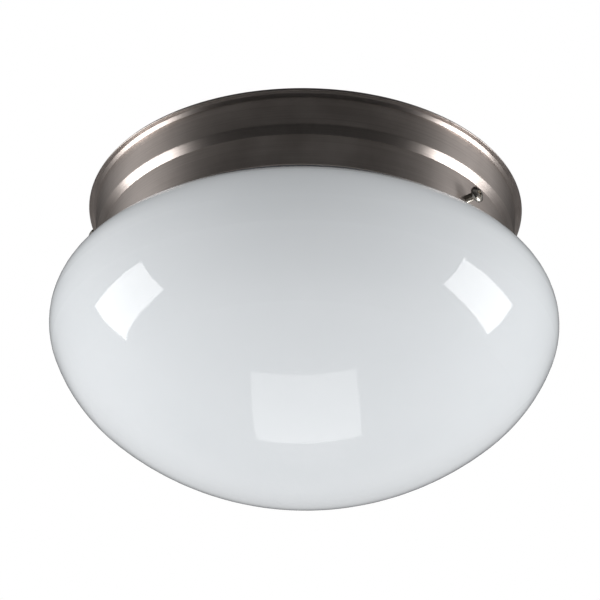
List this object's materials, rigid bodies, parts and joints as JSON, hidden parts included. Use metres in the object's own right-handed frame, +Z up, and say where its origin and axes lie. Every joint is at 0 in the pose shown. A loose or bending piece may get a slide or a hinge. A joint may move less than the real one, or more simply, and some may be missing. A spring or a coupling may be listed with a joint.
{
  "type": "flush mount ceiling light",
  "caption": "Flush mount ceiling light: round stepped metal canopy with a rolled rim, an opal glass mushroom shade clamped by radial screws, and lamps side by side inside.",
  "frame": {"origin": "centre of the ceiling plane, which the canopy's rim meets", "axes": "+Z up, out of the ceiling face; the light hangs towards -Z; +X along the lamps' axes and the outlet box slots; -Y towards the viewer of the picture"},
  "size_m": [0.254, 0.254, 0.1504],
  "materials": {
    "brushed_nickel": "brushed, satin",
    "nickel_screw": "nickel plated, bright",
    "zinc_steel": "zinc plated, satin",
    "white_enamel": "gloss white enamel",
    "green_paint": "green, satin",
    "opal_glass": "opal white, gloss",
    "frosted_glass": "inside frosted, white",
    "black_glass": "gloss black",
    "cap_aluminium": "rolled, satin",
    "brass": "bright",
    "porcelain": "glazed, gloss",
    "glass_wool": "matt, fibrous",
    "white_nylon": "moulded, satin"
  },
  "bodies": {
    "fixture": {"canopy": "brushed_nickel", "weld_nuts": "zinc_steel", "back_plate": "white_enamel", "wire_bushing": "white_nylon", "insulation_ring": "glass_wool", "ground_screw": "green_paint", "socket_bracket_1": "zinc_steel", "socket_bracket_2": "zinc_steel", "bracket_rivets": "cap_aluminium", "lampholder_screws": "zinc_steel", "lampholder_1": "porcelain", "lampholder_2": "porcelain", "screw_shell_1": "brass", "screw_shell_2": "brass", "centre_contact_1": "brass", "centre_contact_2": "brass"},
    "shade": {"opal_shade": "opal_glass"},
    "shade_screw_1": {"thumb_screw_1": "nickel_screw"},
    "shade_screw_2": {"thumb_screw_2": "nickel_screw"},
    "shade_screw_3": {"thumb_screw_3": "nickel_screw"},
    "lamp_1": {"lamp_bulb_1": "frosted_glass", "lamp_cap_1": "cap_aluminium", "lamp_insulator_1": "black_glass", "lamp_tip_1": "brass"},
    "lamp_2": {"lamp_bulb_2": "frosted_glass", "lamp_cap_2": "cap_aluminium", "lamp_insulator_2": "black_glass", "lamp_tip_2": "brass"}
  },
  "joints": [
    {"name": "shade_drop", "type": "slide", "parent": "fixture", "child": "shade", "axis": [0, 0, -1], "range_m": [0, 0.1]},
    {"name": "shade_screw_1_back_out", "type": "slide", "parent": "fixture", "child": "shade_screw_1", "axis": [0.7361, -0.6769, 0], "range_m": [0, 0.005]},
    {"name": "shade_screw_2_back_out", "type": "slide", "parent": "fixture", "child": "shade_screw_2", "axis": [0.2181, 0.9759, 0], "range_m": [0, 0.005]},
    {"name": "shade_screw_3_back_out", "type": "slide", "parent": "fixture", "child": "shade_screw_3", "axis": [-0.9542, -0.299, 0], "range_m": [0, 0.005]},
    {"name": "lamp_1_unscrew", "type": "slide", "parent": "fixture", "child": "lamp_1", "axis": [1, 0, 0], "range_m": [0, 0.024]},
    {"name": "lamp_2_unscrew", "type": "slide", "parent": "fixture", "child": "lamp_2", "axis": [-1, 0, 0], "range_m": [0, 0.024]}
  ]
}
